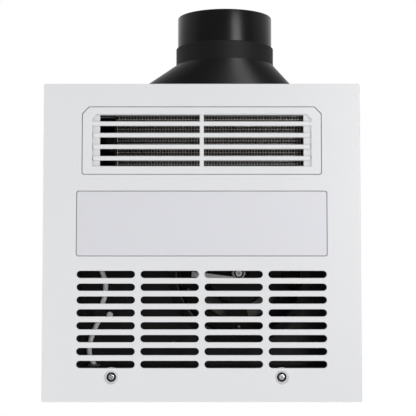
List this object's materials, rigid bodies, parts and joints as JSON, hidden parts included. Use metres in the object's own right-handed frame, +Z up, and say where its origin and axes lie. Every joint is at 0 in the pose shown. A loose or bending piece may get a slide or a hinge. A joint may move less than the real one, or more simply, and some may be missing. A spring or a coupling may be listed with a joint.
{
  "type": "bathroom ceiling heater",
  "caption": "Square recessed bathroom ceiling unit with a slotted inlet, a light, a louvred warm air outlet, a blower with heater, and an exhaust collar with a flap.",
  "frame": {"origin": "centre of the ceiling opening, on the plane of the ceiling's underside", "axes": "+Z up into the ceiling void, -Y towards the exhaust duct, +X to the right of the picture; the white front panel faces -Z"},
  "size_m": [0.3, 0.3907, 0.174],
  "materials": {
    "white_plastic": "satin white moulded plastic",
    "frosted_plastic": "frosted translucent white",
    "black_plastic": "glossy black moulded plastic",
    "dark_plastic": "matt black moulded plastic",
    "galvanised_steel": "galvanised sheet",
    "motor_shell": "dull cast end shields",
    "bright_steel": "bright zinc plated",
    "aluminium": "plain aluminium",
    "guard_wire": "dull grey wire",
    "white_sheath": "white cable sheath",
    "brown_sleeve": "brown woven heat sleeve",
    "grey_rubber": "dark grey rubber"
  },
  "bodies": {
    "base": {"blower_plate": "black_plastic", "cable_gland": "dark_plastic", "casing_screw_1": "bright_steel", "casing_screw_2": "bright_steel", "clamp_screw": "bright_steel", "collar_screw_1": "bright_steel", "collar_screw_2": "bright_steel", "collar_screw_3": "bright_steel", "collar_screw_4": "bright_steel", "cover_screw_1": "bright_steel", "cover_screw_2": "bright_steel", "door_motor": "bright_steel", "duct_collar": "black_plastic", "fan_motor": "motor_shell", "flap_pin": "bright_steel", "heater_bar_1": "aluminium", "heater_bar_2": "aluminium", "heater_fins_1": "aluminium", "heater_fins_2": "aluminium", "heater_fins_3": "aluminium", "heater_fins_4": "aluminium", "heater_frame": "dark_plastic", "heater_guard": "guard_wire", "heater_lead": "brown_sleeve", "hinge_bracket_left": "galvanised_steel", "hinge_bracket_right": "galvanised_steel", "housing": "galvanised_steel", "inlet_ring": "black_plastic", "lamp_grommet": "grey_rubber", "lamp_lead": "white_sheath", "lamp_socket": "white_plastic", "lead_clamp": "dark_plastic", "motor_screw_1": "bright_steel", "motor_screw_2": "bright_steel", "motor_screw_3": "bright_steel", "plate_screw_1": "bright_steel", "plate_screw_2": "bright_steel", "power_grommet": "grey_rubber", "run_capacitor": "dark_plastic", "scroll_casing": "dark_plastic", "terminal_block": "white_plastic", "terminal_box": "dark_plastic", "terminal_cover": "dark_plastic", "thermal_cutout": "bright_steel", "warm_air_duct": "dark_plastic"},
    "panel": {"front_panel": "white_plastic", "louvre_insert": "white_plastic", "light_diffuser": "frosted_plastic", "light_tray": "galvanised_steel", "light_board": "aluminium", "light_driver": "dark_plastic", "lamp_plug": "white_plastic", "panel_screw_left": "bright_steel", "panel_screw_right": "bright_steel"},
    "blower_wheel": {"impeller": "black_plastic", "impeller_cage": "black_plastic", "motor_shaft": "bright_steel", "impeller_nut": "bright_steel"},
    "air_door": {"air_door": "dark_plastic"},
    "flap": {"backdraught_flap": "black_plastic"}
  },
  "joints": [
    {"name": "panel_swing", "type": "hinge", "parent": "base", "child": "panel", "pos_m": [0, -0.1432, -0.0055], "axis": [-1, 0, 0], "range_deg": [0, 60]},
    {"name": "blower_spin", "type": "hinge", "parent": "base", "child": "blower_wheel", "pos_m": [0.0368, 0.0293, 0.065], "axis": [0, 0, 1], "continuous": true},
    {"name": "door_swing", "type": "hinge", "parent": "base", "child": "air_door", "pos_m": [0, -0.11, 0.05], "axis": [-1, 0, 0], "range_deg": [0, 88]},
    {"name": "flap_swing", "type": "hinge", "parent": "base", "child": "flap", "pos_m": [0.0234, -0.1961, 0.135], "axis": [-1, 0, 0], "range_deg": [0, 60]}
  ]
}
